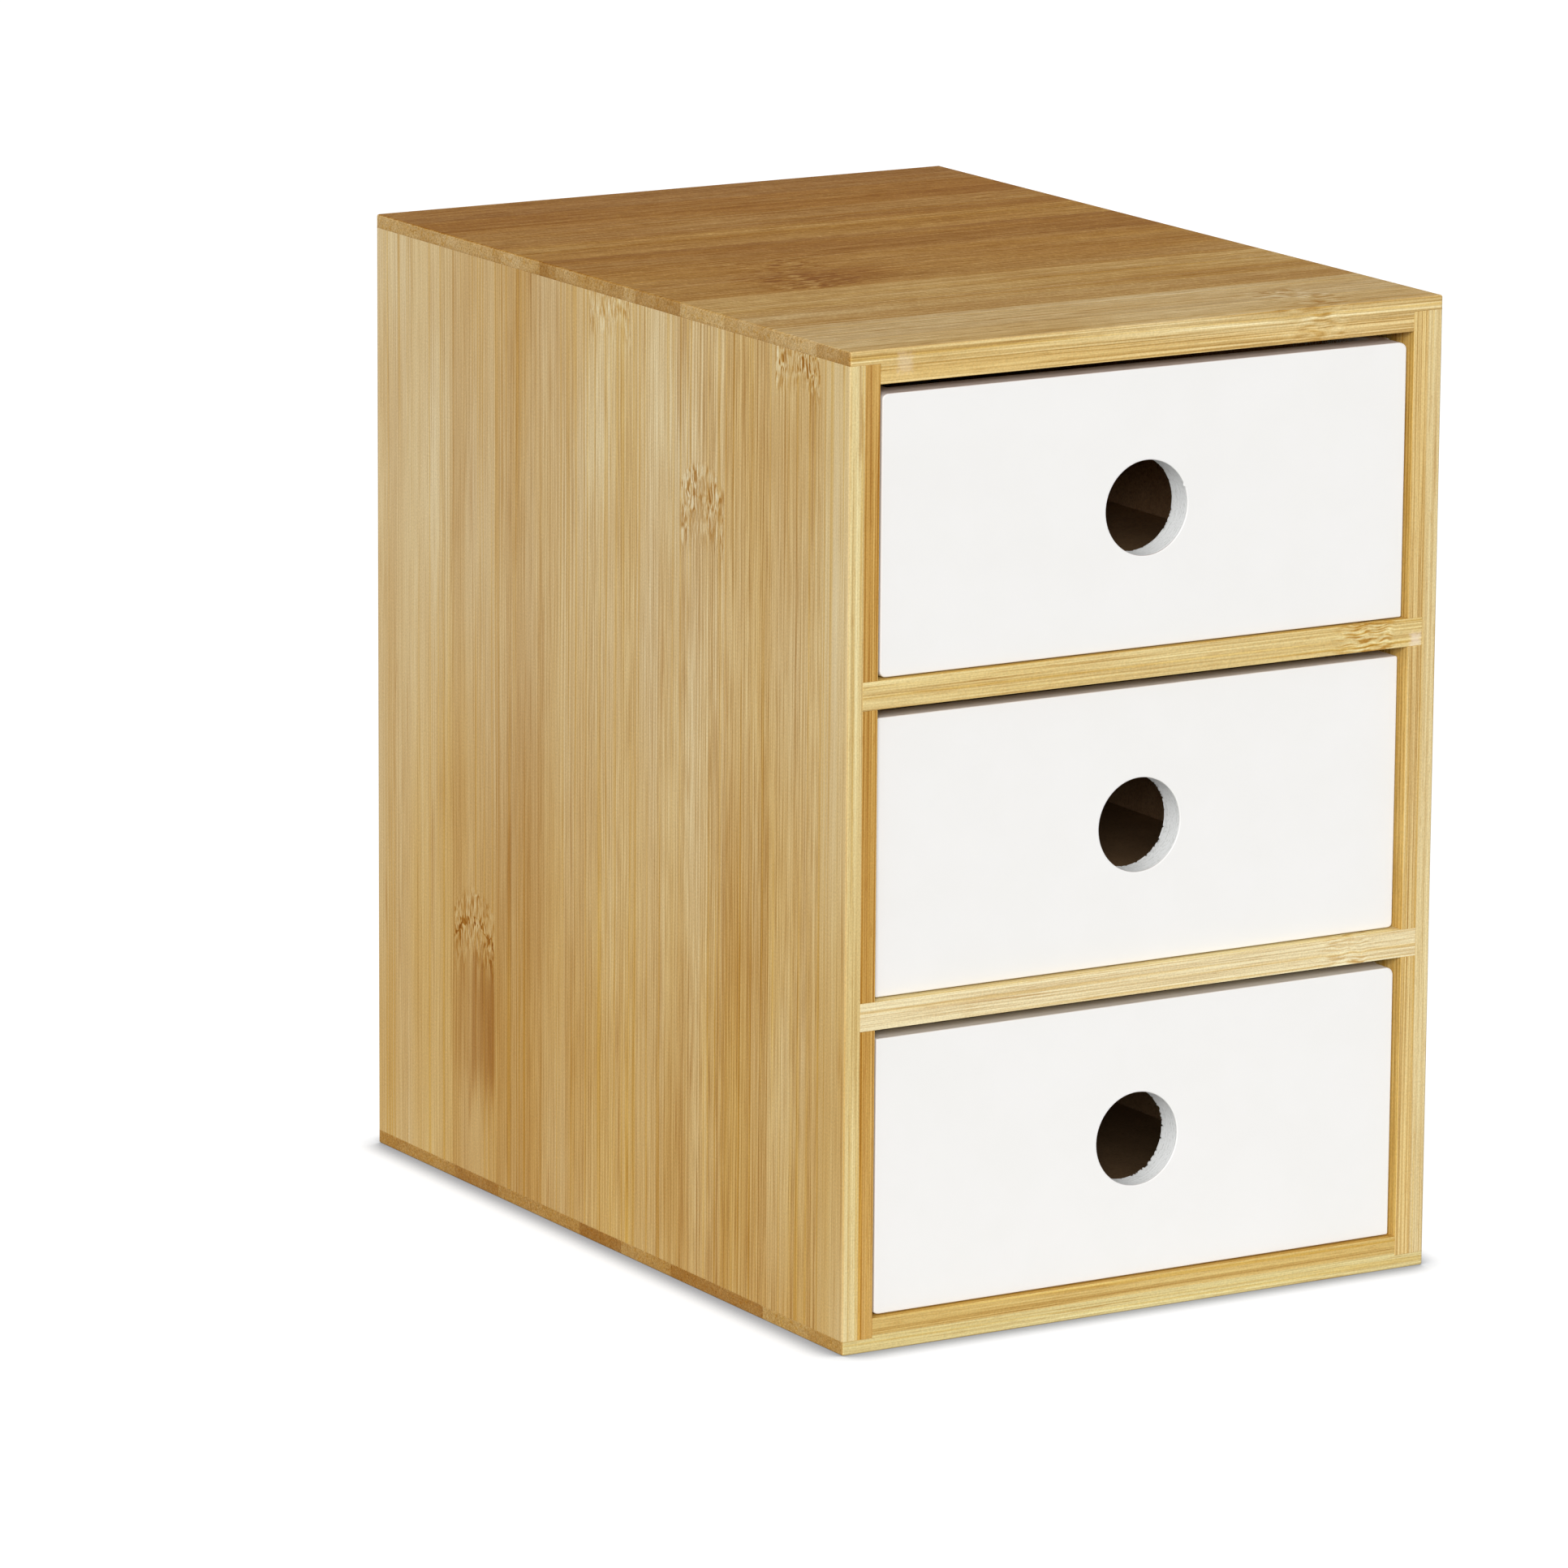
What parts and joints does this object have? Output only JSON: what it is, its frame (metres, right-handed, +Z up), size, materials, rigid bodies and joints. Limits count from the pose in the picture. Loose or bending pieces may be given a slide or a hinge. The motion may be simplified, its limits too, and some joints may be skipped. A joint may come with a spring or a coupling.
{
  "type": "desktop mini drawers",
  "caption": "Small desktop cabinet of bamboo boards with drawers one over the other, each a painted box that slides on a shelf and is pulled by a round finger hole.",
  "frame": {"origin": "middle of the footprint, on the surface that the cabinet stands on", "axes": "+X to the right seen from the front, -Y to the front, where the drawers pull out, +Z up"},
  "size_m": [0.145, 0.2, 0.21],
  "materials": {
    "bamboo": "satin clear lacquer over laminated bamboo strips, grain along each board",
    "bamboo_ply": "satin clear lacquer over thin bamboo plywood",
    "white_paint": "satin white paint over fibreboard",
    "fibreboard": "bare brown fibreboard, white overspray along its edges"
  },
  "bodies": {
    "cabinet": {"top_board": "bamboo", "bottom_board": "bamboo", "left_side_board": "bamboo", "right_side_board": "bamboo", "upper_shelf": "bamboo", "lower_shelf": "bamboo", "back_panel": "bamboo_ply"},
    "bottom_drawer": {"bottom_drawer_front": "white_paint", "bottom_drawer_left_side": "white_paint", "bottom_drawer_right_side": "white_paint", "bottom_drawer_back": "white_paint", "bottom_drawer_floor": "fibreboard"},
    "middle_drawer": {"middle_drawer_front": "white_paint", "middle_drawer_left_side": "white_paint", "middle_drawer_right_side": "white_paint", "middle_drawer_back": "white_paint", "middle_drawer_floor": "fibreboard"},
    "top_drawer": {"top_drawer_front": "white_paint", "top_drawer_left_side": "white_paint", "top_drawer_right_side": "white_paint", "top_drawer_back": "white_paint", "top_drawer_floor": "fibreboard"}
  },
  "joints": [
    {"name": "bottom_drawer_slide", "type": "slide", "parent": "cabinet", "child": "bottom_drawer", "axis": [0, -1, 0], "range_m": [-0.0011, 0.19]},
    {"name": "middle_drawer_slide", "type": "slide", "parent": "cabinet", "child": "middle_drawer", "axis": [0, -1, 0], "range_m": [-0.0003, 0.19]},
    {"name": "top_drawer_slide", "type": "slide", "parent": "cabinet", "child": "top_drawer", "axis": [0, -1, 0], "range_m": [-0.0013, 0.19]}
  ]
}
